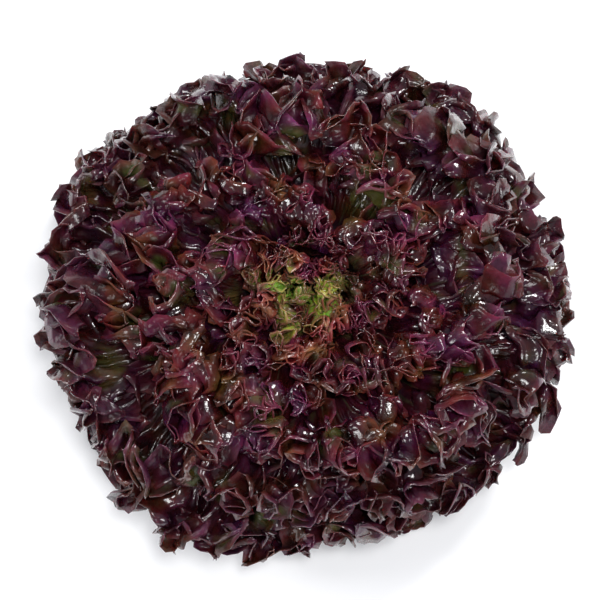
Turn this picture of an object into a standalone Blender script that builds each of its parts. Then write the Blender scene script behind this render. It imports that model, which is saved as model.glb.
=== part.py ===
"""A head of frilled red lettuce, cut at the stem and standing on the cut.

Every leaf grows from one short stem, a golden angle round from the leaf before it. The leaves are
nested funnels: the outermost lies nearly flat and the innermost stands nearly upright. A leaf is a fan
of rows, from a root on the stem to a waved margin. Its shape is worked out in directions seen
from the crown's centre: how far a point lies from it, how far from upright, and how far round.
Lengths are in metres, angles in radians, and Z is up.
"""

import math
import random

import bmesh
import bpy
from mathutils import Vector

# The stem
STEM_RADIUS = 0.0150
STEM_CUT_BEVEL = 0.0012
CROWN_HEIGHT = 0.026
CROWN_TOP_RADIUS = 0.030
CROWN_SIDE_RADIUS = 0.0185
CROWN_SIDE_TILT = math.radians(75)
CROWN_LOWEST_TILT = math.radians(128)
CROWN_POINTS = 14
STEM_STEPS = 40
STEM_MERGE = 0.00005
ROOT_GAP = 0.0003

# The spiral of leaves
LEAF_COUNT = 50
GOLDEN_ANGLE = math.pi * (3 - math.sqrt(5))
FIRST_AZIMUTH = math.radians(250)
OUTER_TILT = math.radians(100)
HEART_TILT = math.radians(6)
HEART_CROWDING = 1.3
TILT_SPREAD = math.radians(0.35)
REACH_SPREAD = 0.07
SEED = 7

# The bud, which is the innermost leaf, rolled nearly shut
BUD_TILT = math.radians(2.4)
BUD_HALF_ANGLE = math.radians(150)
BUD_WAVE_SHARE = 0.22

# How far the head reaches from the crown's centre: upright, at its shoulder and at its rim
HEART_REACH = 0.084
SHOULDER_REACH = 0.131
RIM_REACH = 0.139
SHOULDER_TILT = math.radians(45)
RIM_TILT = math.radians(90)

# The outline of a leaf, as shares of its length and of its half angle
OUTER_HALF_ANGLE = math.radians(42)
HEART_HALF_ANGLE = math.radians(40)
OUTER_ROOT_WIDTH = 0.62
HEART_ROOT_WIDTH = 0.90
ROOT_WIDENING = (0.6, 0.9)
FULL_WIDTH_AT = 0.50
ROUND_TOP_START = 0.62
OUTER_SIDE_START = 0.38
HEART_SIDE_START = 0.60
SPREADING = 2.0
OUTLINE_SAMPLES = 240

# How a leaf rises from its root, and its twist, which keeps it clear of the leaves beside it
ROOT_RISE = 0.86
ARCH = 0.08
TWIST = 0.06
UNTWISTED_FROM = 0.72

# How the whole head bends outward at its rim, and leans forward between two distances from the crown
MARGIN_BEND = math.radians(17)
BEND_START = 0.60
BEND_END = 1.20
LEAN = Vector((0.002, -0.022, 0.0))
LEAN_START = 0.034
LEAN_END = 0.105

# Slow waves that run through every leaf alike: how far each tips them, how many go round the head, where
# the first begins, and how it slants from the heart to the rim
SWELLS = ((0.030, 3, 0.6, 1.0), (0.024, 5, 2.1, -3.0), (0.016, 8, 4.0, 4.0))
SWELL_START = 0.45
SWELL_END = 1.10

# The lumps of the head's outline: how far each reaches, as a share of the distance from the crown, how many
# go round the head, and where the first begins
LUMPS = (
    (0.040, 2, 0.6), (0.007, 3, -2.0), (0.020, 4, 2.8), (0.018, 5, -0.3), (0.013, 6, 1.9), (0.014, 7, -3.1),
    (0.008, 10, -0.6),
)
LUMP_START = 0.40
LUMP_END = 1.10

# The waves of the margin
OUTER_WAVES = 12
HEART_WAVES = 9
WAVE_THINNING = (0.3, 0.9)
WAVE_HEIGHT = 0.0080
HEART_WAVE_SHARE = 0.50
WAVE_LOWERING = (0.25, 1.0)
WAVE_START = 0.35
WAVE_POWER = 2.0
WAVE_SIZES = (0.75, 1.20)
WAVE_WIDTHS = (0.75, 1.30)
OUTER_FOOT_SHARE = 0.35
HEART_FOOT_SHARE = 0.0
OUTER_FOOT_END = 0.70
HEART_FOOT_END = 0.97
FOOT_RISING = (0.40, 0.85)

# The blade
ROOT_THICKNESS = 0.0018
HEART_THICKNESS_SHARE = 0.76
MARGIN_THICKNESS_SHARE = 0.68
FLOOR_CLEARANCE = 0.0006
FLOOR_SOFTNESS = 0.006

# Share of the leaf's length at each row, and the row's steps for each wave of the margin. Steps of two rows
# count as level within this difference of their shares.
ROWS = ((0.0, 1 / 3), (0.36, 2 / 3), (0.66, 2), (0.85, 2), (1.0, 2))
LEVEL = 1e-9

# The tiers from outside in, each with the share of the leaves where it ends, its colour and its roughness
TIERS = (
    ("outer_leaf", 0.45, (0.105, 0.020, 0.030, 1), 0.34),
    ("inner_leaf", 0.82, (0.190, 0.030, 0.055, 1), 0.36),
    ("heart_leaf", 1.01, (0.330, 0.310, 0.075, 1), 0.40),
)
STEM_COLOUR = (0.62, 0.60, 0.40, 1)
STEM_ROUGHNESS = 0.55


def mix(a, b, share):
    """The value that lies this share of the way from a to b."""
    return a + (b - a) * share


def ease(value, start, end):
    """A smooth step from 0 at start to 1 at end."""
    share = min(1.0, max(0.0, (value - start) / (end - start)))
    return share * share * (3 - 2 * share)


def crown_radius(tilt):
    """How far the stem's surface lies from the crown's centre, in a direction this far from upright."""
    return mix(CROWN_TOP_RADIUS, CROWN_SIDE_RADIUS, ease(tilt, 0, CROWN_SIDE_TILT))


def head_reach(tilt):
    """How far the head reaches from the crown's centre, in a direction this far from upright."""
    inside = mix(HEART_REACH, SHOULDER_REACH, ease(tilt, 0, SHOULDER_TILT))
    return mix(inside, RIM_REACH, ease(tilt, SHOULDER_TILT, RIM_TILT))


def above_floor(height):
    """The height, eased off near the floor so that a low leaf lies along it."""
    over = (height - FLOOR_CLEARANCE) / FLOOR_SOFTNESS
    return FLOOR_CLEARANCE + FLOOR_SOFTNESS * math.log1p(math.exp(over))


def swell(tilt, azimuth):
    """How far the slow waves tip a leaf outward, in this direction."""
    return sum(
        size * math.sin(count * azimuth + start + slant * tilt) for size, count, start, slant in SWELLS
    )


def lump(azimuth):
    """How much further than a round head's the outline reaches, this far round, as a share."""
    return sum(size * math.sin(count * azimuth + start) for size, count, start in LUMPS)


def place_in_head(distance, tilt, azimuth):
    """The point in this direction, after the head has swelled, bent outward, leaned and settled."""
    outward = distance / head_reach(tilt)
    tilt += math.sin(tilt) * swell(tilt, azimuth) * ease(outward, SWELL_START, SWELL_END)
    tilt += MARGIN_BEND * math.sin(tilt) * ease(outward, BEND_START, BEND_END)
    distance *= 1 + math.sin(tilt) * lump(azimuth) * ease(outward, LUMP_START, LUMP_END)
    leaning = max(0.0, math.cos(tilt)) * ease(distance, LEAN_START, LEAN_END)
    across = distance * math.sin(tilt)
    height = CROWN_HEIGHT + distance * math.cos(tilt)
    point = Vector((across * math.cos(azimuth), across * math.sin(azimuth), above_floor(height)))
    return point + LEAN * leaning


class Leaf:
    """One leaf of the spiral, numbered from the outermost, with every size that its shape needs."""

    def __init__(self, number, draw):
        self.inward = number / (LEAF_COUNT - 1)
        self.azimuth = FIRST_AZIMUTH + number * GOLDEN_ANGLE
        self.tilt = mix(HEART_TILT, OUTER_TILT, (1 - self.inward) ** HEART_CROWDING)
        self.tilt += draw.uniform(-TILT_SPREAD, TILT_SPREAD)
        self.reach = head_reach(self.tilt) * (1 + draw.uniform(-REACH_SPREAD, REACH_SPREAD))
        self.half_angle = mix(OUTER_HALF_ANGLE, HEART_HALF_ANGLE, self.inward)
        self.twist = TWIST * (1 - ease(self.inward, UNTWISTED_FROM, 1))
        self.waves = round(mix(OUTER_WAVES, HEART_WAVES, ease(self.inward, *WAVE_THINNING)))
        self.wave_height = WAVE_HEIGHT * mix(1, HEART_WAVE_SHARE, ease(self.inward, *WAVE_LOWERING))
        self.wave_sizes = [draw.uniform(*WAVE_SIZES) for _ in range(2 * self.waves + 1)]
        self.wave_ends = self.space_waves([draw.uniform(*WAVE_WIDTHS) for _ in range(self.waves)])
        self.first_side = draw.choice((-1, 1))
        rising = ease(self.inward, *FOOT_RISING)
        self.side_start = mix(OUTER_SIDE_START, HEART_SIDE_START, rising)
        self.foot_share = mix(OUTER_FOOT_SHARE, HEART_FOOT_SHARE, rising)
        self.foot_end = mix(OUTER_FOOT_END, HEART_FOOT_END, rising)
        self.thickness = ROOT_THICKNESS * mix(1, HEART_THICKNESS_SHARE, self.inward)
        self.root_width = mix(OUTER_ROOT_WIDTH, HEART_ROOT_WIDTH, ease(self.inward, *ROOT_WIDENING))
        if number == LEAF_COUNT - 1:
            self.tilt = BUD_TILT
            self.half_angle = BUD_HALF_ANGLE
            self.wave_height *= BUD_WAVE_SHARE
        self.margin = self.trace_margin()

    def space_waves(self, widths):
        """Where each wave ends, as a share of the margin, from the waves' widths."""
        ends = [0.0]
        for width in widths:
            ends.append(ends[-1] + width / sum(widths))
        return ends

    def half_width(self, along):
        """Half the width at this share of the length, as a share of the leaf's half angle."""
        widening = mix(self.root_width, 1, ease(along, 0, FULL_WIDTH_AT))
        past = max(0.0, (along - ROUND_TOP_START) / (1 - ROUND_TOP_START))
        return widening * math.sqrt(max(0.0, 1 - past * past))

    def trace_margin(self):
        """Points round the margin, each as (share of its length, across, along)."""
        side = []
        for k in range(OUTLINE_SAMPLES + 1):
            along = mix(self.side_start, 1, math.sin(math.pi / 2 * k / OUTLINE_SAMPLES))
            side.append((-self.half_width(along), along))
        line = side + [(-across, along) for across, along in reversed(side[:-1])]
        width = self.reach * math.sin(self.tilt) * self.half_angle
        lengths = [0.0]
        for (x0, y0), (x1, y1) in zip(line, line[1:]):
            lengths.append(lengths[-1] + math.hypot((x1 - x0) * width, (y1 - y0) * self.reach))
        self.wave_length = lengths[-1] / self.waves
        return [(length / lengths[-1], x, y) for length, (x, y) in zip(lengths, line)]

    def margin_at(self, u):
        """The margin's (across, along) at u, which runs from 0 to 1 round the leaf."""
        for (u0, x0, y0), (u1, x1, y1) in zip(self.margin, self.margin[1:]):
            if u <= u1:
                part = (u - u0) / (u1 - u0)
                return mix(x0, x1, part), mix(y0, y1, part)
        return self.margin[-1][1:]

    def point(self, turns, v, side):
        """A point of the blade.

        It lies on the upper face where side is 1 and on the lower where it is -1, this many waves round
        the margin, and v of the way out to it from the root.
        """
        wave = min(int(turns), self.waves - 1)
        u = mix(self.wave_ends[wave], self.wave_ends[wave + 1], turns - wave)
        across_margin, along_margin = self.margin_at(u)
        across = mix((2 * u - 1) * self.root_width, across_margin, v ** SPREADING)
        along = along_margin * v
        turn = self.half_angle * across
        size = self.first_side * self.wave_sizes[int(2 * turns + 0.5)]
        growth = self.wave_height * max(0.0, (v - WAVE_START) / (1 - WAVE_START)) ** WAVE_POWER
        growth *= mix(self.foot_share, 1, ease(along_margin, self.side_start, self.foot_end))
        rise = mix(ROOT_RISE, 1, ease(along, 0, 1)) - ARCH * math.sin(math.pi * along)
        tilt = self.tilt * rise + self.twist * turn
        tilt += size * growth / RIM_REACH * math.cos(math.tau * turns)
        distance = mix(crown_radius(tilt), self.reach, along)
        slope = growth * math.tau / self.wave_length * math.sin(math.tau * turns)
        half = self.thickness / 2 * mix(1, MARGIN_THICKNESS_SHARE, v) * math.hypot(1, slope)
        tilt -= side * half / distance
        distance = mix(crown_radius(tilt) + ROOT_GAP, self.reach, along)
        return place_in_head(distance, tilt, self.azimuth + turn)


def new_material(name, colour, roughness):
    """A plain Principled material with this colour and roughness."""
    material = bpy.data.materials.new(name)
    material.use_nodes = True
    shader = material.node_tree.nodes["Principled BSDF"]
    shader.inputs["Base Color"].default_value = colour
    shader.inputs["Roughness"].default_value = roughness
    shader.inputs["Metallic"].default_value = 0.0
    material.diffuse_color = colour
    return material


def fill_between(mesh, inner, outer):
    """Triangles between two rows of points, which step along whichever row lags behind the other."""
    i, j = 0, 0
    while i < len(inner) - 1 or j < len(outer) - 1:
        next_inner = (i + 1) / (len(inner) - 1)
        next_outer = (j + 1) / (len(outer) - 1)
        if j < len(outer) - 1 and (i == len(inner) - 1 or next_outer <= next_inner + LEVEL):
            mesh.faces.new((inner[i], outer[j], outer[j + 1]))
            j += 1
        else:
            mesh.faces.new((inner[i], outer[j], inner[i + 1]))
            i += 1


def build_leaf(leaf, name, material, collection):
    """One leaf: a flat fan of rows, made 1 thick, whose two faces are then bent to the leaf's shape.

    In the flat fan x counts the waves, y runs from root to margin and z is 0 on the upper face and 1 on
    the lower, so both faces are split into the same triangles.
    """
    mesh = bmesh.new()
    rows = []
    for v, steps_for_each_wave in ROWS:
        steps = round(leaf.waves * steps_for_each_wave)
        rows.append([mesh.verts.new((leaf.waves * k / steps, v, 0)) for k in range(steps + 1)])
    for inner, outer in zip(rows, rows[1:]):
        fill_between(mesh, inner, outer)
    mesh.normal_update()
    bmesh.ops.solidify(mesh, geom=mesh.faces[:], thickness=1)
    bmesh.ops.triangulate(mesh, faces=mesh.faces[:])
    for vert in mesh.verts:
        turns, v, depth = vert.co
        vert.co = leaf.point(turns, v, 1 if depth < 0.5 else -1)
    data = bpy.data.meshes.new(name)
    mesh.to_mesh(data)
    mesh.free()
    data.materials.append(material)
    obj = bpy.data.objects.new(name, data)
    collection.objects.link(obj)
    return obj


def build_stem(collection):
    """The stem: a short cut stump under a rounded crown, turned from one profile."""
    profile = []
    for k in range(CROWN_POINTS + 1):
        tilt = CROWN_LOWEST_TILT * k / CROWN_POINTS
        radius = crown_radius(tilt)
        profile.append((radius * math.sin(tilt), CROWN_HEIGHT + radius * math.cos(tilt)))
    profile.append((STEM_RADIUS, STEM_CUT_BEVEL))
    profile.append((STEM_RADIUS - STEM_CUT_BEVEL, 0.0))
    profile.append((0.0, 0.0))
    data = bpy.data.meshes.new("stem")
    points = [(x, 0.0, z) for x, z in profile]
    data.from_pydata(points, [(k, k + 1) for k in range(len(points) - 1)], [])
    data.materials.append(new_material("stem", STEM_COLOUR, STEM_ROUGHNESS))
    obj = bpy.data.objects.new("stem", data)
    collection.objects.link(obj)
    screw = obj.modifiers.new("turned", "SCREW")
    screw.axis = "Z"
    screw.steps = STEM_STEPS
    screw.render_steps = STEM_STEPS
    screw.use_merge_vertices = True
    screw.merge_threshold = STEM_MERGE
    screw.use_smooth_shade = True
    return obj


def main():
    """Clears the scene and builds the head in its own collection."""
    for obj in list(bpy.data.objects):
        bpy.data.objects.remove(obj)
    collection = bpy.data.collections.new("lettuce_head")
    bpy.context.scene.collection.children.link(collection)
    build_stem(collection)
    materials = [new_material(name, colour, roughness) for name, _, colour, roughness in TIERS]
    draw = random.Random(SEED)
    for number in range(LEAF_COUNT):
        leaf = Leaf(number, draw)
        tier = next(k for k, (_, end, _, _) in enumerate(TIERS) if leaf.inward < end)
        build_leaf(leaf, f"{TIERS[tier][0]}_{number + 1:02d}", materials[tier], collection)


main()
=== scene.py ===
"""Looks of a head of frilled red lettuce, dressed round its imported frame.

The frame's solids hold the place and the waves of every leaf. Each blade here follows the same rule as
its solid, on a finer fan of rows, and Geometry Nodes then frill it: the rows meander from side to side in
folds and frills as a growing leaf's margin does, the crests of the folds curl a little, and uneven teeth
stand on the edge. Ribs follow the underside of each blade. Lengths are in metres, angles in radians, and
Z is up.
"""

import logging
import math
import random
from dataclasses import dataclass, field
from enum import Enum
from typing import Union

import bmesh
import bpy
import numpy as np
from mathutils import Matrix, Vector


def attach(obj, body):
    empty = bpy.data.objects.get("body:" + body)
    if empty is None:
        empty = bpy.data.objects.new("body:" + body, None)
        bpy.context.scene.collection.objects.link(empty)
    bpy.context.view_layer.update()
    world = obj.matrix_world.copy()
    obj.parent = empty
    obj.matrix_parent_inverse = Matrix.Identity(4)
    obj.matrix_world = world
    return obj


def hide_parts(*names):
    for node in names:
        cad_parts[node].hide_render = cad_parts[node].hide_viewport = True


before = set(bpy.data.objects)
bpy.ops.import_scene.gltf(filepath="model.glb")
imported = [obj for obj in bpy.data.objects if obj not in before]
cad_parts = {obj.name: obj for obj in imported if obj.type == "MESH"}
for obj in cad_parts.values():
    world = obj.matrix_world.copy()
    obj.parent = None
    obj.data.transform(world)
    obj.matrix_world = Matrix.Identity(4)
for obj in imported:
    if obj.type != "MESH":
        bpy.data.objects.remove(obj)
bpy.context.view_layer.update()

LOG = logging.getLogger("lettuce")
GOLDEN_ANGLE = math.pi * (3 - math.sqrt(5))
SLOPE_STEP = 1e-3
NODE_SPACING = 200
NODES_IN_A_COLUMN = 6
Colour = tuple[float, float, float, float]
Array = np.ndarray
Material = bpy.types.Material
Piece = bpy.types.Object
Socket = bpy.types.NodeSocket
Tree = bpy.types.NodeTree
Place = Union[str, int]
Value = Union[float, "Term"]


def mix(a: Array, b: Array, share: Array) -> Array:
    """The value that lies this share of the way from a to b."""
    return a + (b - a) * share


def ease(value: Array, start: float, end: float) -> Array:
    """A smooth step from 0 at start to 1 at end."""
    share = np.clip((value - start) / (end - start), 0, 1)
    return share * share * (3 - 2 * share)


def unit(vectors: Array) -> Array:
    """The vectors at a length of one."""
    return vectors / np.maximum(np.linalg.norm(vectors, axis=-1, keepdims=True), 1e-12)


class Tier(Enum):
    """The leaves from outside in. Each value is the name that its nodes and its material slot share."""

    OUTER = "outer_leaf"
    INNER = "inner_leaf"
    HEART = "heart_leaf"


@dataclass(frozen=True)
class Crown:
    """The top of the stem, where the leaves join."""

    height: float = 0.026
    top_radius: float = 0.030
    side_radius: float = 0.0185
    side_tilt: float = math.radians(75)
    root_gap: float = 0.0003

    def radius(self, tilt: Array) -> Array:
        """How far the stem's surface lies from the crown's centre, in a direction this far from upright."""
        return mix(self.top_radius, self.side_radius, ease(tilt, 0, self.side_tilt))


@dataclass(frozen=True)
class Head:
    """The form of the whole head, which every leaf is fitted into.

    Each swell is how far it tips a leaf, how many go round, where the first begins and how it slants.
    Each lump is how far it reaches as a share, how many go round and where the first begins.
    """

    crown: Crown = field(default_factory=Crown)
    heart_reach: float = 0.084
    shoulder_reach: float = 0.131
    rim_reach: float = 0.139
    shoulder_tilt: float = math.radians(45)
    rim_tilt: float = math.radians(90)
    margin_bend: float = math.radians(17)
    bend_start: float = 0.60
    bend_end: float = 1.20
    lean: tuple[float, float, float] = (0.002, -0.022, 0.0)
    lean_start: float = 0.034
    lean_end: float = 0.105
    swells: tuple[tuple[float, int, float, float], ...] = (
        (0.030, 3, 0.6, 1.0), (0.024, 5, 2.1, -3.0), (0.016, 8, 4.0, 4.0),
    )
    swell_start: float = 0.45
    swell_end: float = 1.10
    lumps: tuple[tuple[float, int, float], ...] = (
        (0.040, 2, 0.6), (0.007, 3, -2.0), (0.020, 4, 2.8), (0.018, 5, -0.3), (0.013, 6, 1.9),
        (0.014, 7, -3.1), (0.008, 10, -0.6),
    )
    lump_start: float = 0.40
    lump_end: float = 1.10
    floor_clearance: float = 0.0006
    floor_softness: float = 0.006

    def reach(self, tilt: Array) -> Array:
        """How far the head reaches from the crown's centre, in a direction this far from upright."""
        inside = mix(self.heart_reach, self.shoulder_reach, ease(tilt, 0, self.shoulder_tilt))
        return mix(inside, self.rim_reach, ease(tilt, self.shoulder_tilt, self.rim_tilt))

    def above_floor(self, height: Array) -> Array:
        """The height, eased off near the floor so that a low leaf lies along it."""
        over = (height - self.floor_clearance) / self.floor_softness
        return self.floor_clearance + self.floor_softness * np.logaddexp(0, over)

    def place(self, distance: Array, tilt: Array, azimuth: Array) -> Array:
        """The points in these directions, after the head has swelled, bent, leaned and settled.

        Args:
            distance: how far each point lies from the crown's centre.
            tilt: how far its direction is from upright.
            azimuth: how far round its direction is.

        Returns:
            The points, one a row.
        """
        outward = distance / self.reach(tilt)
        swell = sum(
            size * np.sin(count * azimuth + start + slant * tilt) for size, count, start, slant in self.swells
        )
        tilt = tilt + np.sin(tilt) * swell * ease(outward, self.swell_start, self.swell_end)
        tilt = tilt + self.margin_bend * np.sin(tilt) * ease(outward, self.bend_start, self.bend_end)
        lump = sum(size * np.sin(count * azimuth + start) for size, count, start in self.lumps)
        distance = distance * (1 + np.sin(tilt) * lump * ease(outward, self.lump_start, self.lump_end))
        leaning = np.maximum(0, np.cos(tilt)) * ease(distance, self.lean_start, self.lean_end)
        across = distance * np.sin(tilt)
        height = self.above_floor(self.crown.height + distance * np.cos(tilt))
        points = np.stack((across * np.cos(azimuth), across * np.sin(azimuth), height), axis=-1)
        return points + leaning[..., None] * np.array(self.lean)


@dataclass
class Leaf:
    """One leaf of the spiral, with the sizes that its solid has, and the rule for its points."""

    number: int
    tier: Tier
    head: Head
    azimuth: float
    tilt: float
    reach: float
    half_angle: float
    twist: float
    waves: int
    ruffle: float
    wave_sizes: list[float]
    wave_widths: list[float]
    first_side: int
    side_start: float
    foot_share: float
    foot_end: float
    thickness: float
    root_width: float
    inward: float
    full_width_at: float = 0.50
    round_top_start: float = 0.62
    spreading: float = 2.0
    root_rise: float = 0.86
    arch: float = 0.08
    wave_start: float = 0.35
    wave_power: float = 3.0
    fold_start: float = 0.62
    fold_power: float = 1.5
    fold_slide: float = 0.3
    outline_samples: int = 240
    margin: Array = field(init=False)
    wave_ends: Array = field(init=False)

    def __post_init__(self) -> None:
        """Spaces the waves and traces the margin once the sizes are known."""
        self.wave_ends = np.concatenate(([0.0], np.cumsum(self.wave_widths))) / sum(self.wave_widths)
        self.margin = self.trace_margin()

    @property
    def node(self) -> str:
        """The name of the solid that this leaf stands for."""
        return f"{self.tier.value}_{self.number:02d}"

    def half_width(self, along: Array) -> Array:
        """Half the width at this share of the length, as a share of the leaf's half angle.

        Args:
            along: the shares of the length.

        Returns:
            The half widths.
        """
        widening = mix(self.root_width, 1, ease(along, 0, self.full_width_at))
        past = np.maximum(0, (along - self.round_top_start) / (1 - self.round_top_start))
        return widening * np.sqrt(np.maximum(0, 1 - past * past))

    def trace_margin(self) -> Array:
        """Traces the margin, from its foot on one side to its foot on the other.

        Returns:
            Points round the margin, each a row of its share of the margin's length, across and along.
        """
        turn = np.linspace(0, math.pi / 2, self.outline_samples + 1)
        along = mix(self.side_start, 1, np.sin(turn))
        across = -self.half_width(along)
        across = np.concatenate((across, -across[-2::-1]))
        along = np.concatenate((along, along[-2::-1]))
        width = self.reach * math.sin(self.tilt) * self.half_angle
        steps = np.hypot(np.diff(across) * width, np.diff(along) * self.reach)
        length = np.concatenate(([0.0], np.cumsum(steps)))
        return np.stack((length / length[-1], across, along), axis=-1)

    def wave(self, turns: Array) -> Array:
        """The wave this far round the margin, from about -1 to 1, each crest and trough with its own size."""
        index = np.clip((2 * turns + 0.5).astype(int), 0, 2 * self.waves)
        return self.first_side * np.array(self.wave_sizes)[index] * np.cos(math.tau * turns)

    def points(self, turns: Array, v: Array) -> Array:
        """The blade's points.

        Args:
            turns: how many waves round the margin each point lies.
            v: how far out it lies on the way from the root to the margin, from 0 to 1.

        Returns:
            The points, one a row.
        """
        folded = np.maximum(0, (v - self.fold_start) / (1 - self.fold_start)) ** self.fold_power
        slid = turns + self.fold_slide * folded * np.sin(2 * math.tau * turns) / (2 * math.tau)
        index = np.clip(slid.astype(int), 0, self.waves - 1)
        u = mix(self.wave_ends[index], self.wave_ends[index + 1], slid - index)
        across_margin = np.interp(u, self.margin[:, 0], self.margin[:, 1])
        along_margin = np.interp(u, self.margin[:, 0], self.margin[:, 2])
        across = mix((2 * u - 1) * self.root_width, across_margin, v ** self.spreading)
        along = along_margin * v
        turn = self.half_angle * across
        growth = np.maximum(0, (v - self.wave_start) / (1 - self.wave_start)) ** self.wave_power
        growth = growth * mix(self.foot_share, 1, ease(along_margin, self.side_start, self.foot_end))
        raised = self.ruffle / self.head.rim_reach * growth * self.wave(turns)
        rise = mix(self.root_rise, 1, ease(along, 0, 1)) - self.arch * np.sin(math.pi * along)
        tilt = self.tilt * rise + self.twist * turn + raised
        crown = self.head.crown
        root = crown.radius(tilt - self.thickness / 2 / crown.side_radius) + crown.root_gap
        distance = mix(root, self.reach, along)
        return self.head.place(distance, tilt, self.azimuth + turn)

    def slopes(self, turns: Array, v: Array) -> tuple[Array, Array]:
        """How the blade's points move on the way out, and from one wave of the margin to the next.

        Args:
            turns: how many waves round the margin each point lies.
            v: how far out it lies.

        Returns:
            The outward slopes and the slopes along the row, one a row.
        """
        before, after = np.maximum(turns - SLOPE_STEP, 0), np.minimum(turns + SLOPE_STEP, self.waves)
        along_row = (self.points(after, v) - self.points(before, v)) / (after - before)[:, None]
        outward = self.points(turns, v + SLOPE_STEP) - self.points(turns, v - SLOPE_STEP)
        return outward / (2 * SLOPE_STEP), along_row


@dataclass(frozen=True)
class Spiral:
    """The spiral of leaves. It draws each leaf's sizes in the order in which the solids draw theirs."""

    head: Head = field(default_factory=Head)
    count: int = 50
    first_azimuth: float = math.radians(250)
    outer_tilt: float = math.radians(100)
    heart_tilt: float = math.radians(6)
    heart_crowding: float = 1.3
    tilt_spread: float = math.radians(0.35)
    reach_spread: float = 0.07
    seed: int = 7
    bud_tilt: float = math.radians(2.4)
    bud_half_angle: float = math.radians(150)
    bud_wave_share: float = 0.22
    half_angles: tuple[float, float] = (math.radians(42), math.radians(40))
    root_widths: tuple[float, float] = (0.62, 0.90)
    waves: tuple[int, int] = (12, 9)
    ruffles: tuple[float, float] = (0.0058, 0.0034)
    wave_sizes: tuple[float, float] = (0.75, 1.20)
    wave_widths: tuple[float, float] = (0.75, 1.30)
    side_starts: tuple[float, float] = (0.38, 0.60)
    foot_shares: tuple[float, float] = (0.35, 0.0)
    foot_ends: tuple[float, float] = (0.70, 0.97)
    twist: float = 0.06
    untwisted_from: float = 0.72
    root_thickness: float = 0.0018
    heart_thickness_share: float = 0.76
    inner_from: float = 0.45
    heart_from: float = 0.82
    waves_change: tuple[float, float] = (0.3, 0.9)
    ruffles_change: tuple[float, float] = (0.5, 1.0)
    feet_rise: tuple[float, float] = (0.40, 0.85)
    roots_change: tuple[float, float] = (0.6, 0.9)

    def tier(self, inward: float) -> Tier:
        """The tier of a leaf.

        Args:
            inward: how far inward the leaf is, from 0 at the outermost to 1 at the bud.

        Returns:
            Its tier.
        """
        if inward < self.inner_from:
            return Tier.OUTER
        return Tier.INNER if inward < self.heart_from else Tier.HEART

    def leaf(self, number: int, draw: random.Random) -> Leaf:
        """One leaf with its sizes.

        Args:
            number: its place in the spiral, from 0 at the outermost.
            draw: the source of the sizes that vary.

        Returns:
            The leaf.
        """
        inward = number / (self.count - 1)
        tilt = float(mix(self.heart_tilt, self.outer_tilt, (1 - inward) ** self.heart_crowding))
        tilt += draw.uniform(-self.tilt_spread, self.tilt_spread)
        reach = float(self.head.reach(tilt)) * (1 + draw.uniform(-self.reach_spread, self.reach_spread))
        waves = round(float(mix(*self.waves, ease(inward, *self.waves_change))))
        ruffle = float(mix(*self.ruffles, ease(inward, *self.ruffles_change)))
        wave_sizes = [draw.uniform(*self.wave_sizes) for _ in range(2 * waves + 1)]
        wave_widths = [draw.uniform(*self.wave_widths) for _ in range(waves)]
        first_side = draw.choice((-1, 1))
        rising = float(ease(inward, *self.feet_rise))
        is_bud = number == self.count - 1
        return Leaf(
            number=number + 1,
            tier=self.tier(inward),
            head=self.head,
            azimuth=self.first_azimuth + number * GOLDEN_ANGLE,
            tilt=self.bud_tilt if is_bud else tilt,
            reach=reach,
            half_angle=self.bud_half_angle if is_bud else float(mix(*self.half_angles, inward)),
            twist=self.twist * float(1 - ease(inward, self.untwisted_from, 1)),
            waves=waves,
            ruffle=ruffle * (self.bud_wave_share if is_bud else 1),
            wave_sizes=wave_sizes,
            wave_widths=wave_widths,
            first_side=first_side,
            side_start=mix(*self.side_starts, rising),
            foot_share=mix(*self.foot_shares, rising),
            foot_end=mix(*self.foot_ends, rising),
            thickness=self.root_thickness * mix(1, self.heart_thickness_share, inward),
            root_width=float(mix(*self.root_widths, ease(inward, *self.roots_change))),
            inward=inward,
        )

    def leaves(self) -> list[Leaf]:
        """Every leaf, from the outermost to the bud."""
        draw = random.Random(self.seed)
        return [self.leaf(number, draw) for number in range(self.count)]


@dataclass(frozen=True)
class Term:
    """A value in a node tree. Terms are added, subtracted, multiplied and divided as numbers are."""

    sheet: "NodeSheet"
    socket: Socket

    def __add__(self, other: Value) -> "Term":
        """This and another."""
        return self.sheet.calc("ADD", self, other)

    def __sub__(self, other: Value) -> "Term":
        """This less another."""
        return self.sheet.calc("SUBTRACT", self, other)

    def __rsub__(self, other: float) -> "Term":
        """A number less this."""
        return self.sheet.calc("SUBTRACT", other, self)

    def __mul__(self, other: Value) -> "Term":
        """This times another."""
        return self.sheet.calc("MULTIPLY", self, other)

    def __truediv__(self, other: Value) -> "Term":
        """This over another."""
        return self.sheet.calc("DIVIDE", self, other)

    def scaled(self, by: Value, onto: Value) -> "Term":
        """This times a value, on top of another, in one node."""
        return self.sheet.calc("MULTIPLY_ADD", self, by, onto)


@dataclass(frozen=True)
class Results:
    """The outputs of one node, each as a term, by name or by place."""

    sheet: "NodeSheet"
    sockets: bpy.types.NodeOutputs

    def __getitem__(self, place: Place) -> Term:
        """One output."""
        return Term(self.sheet, self.sockets[place])


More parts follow.
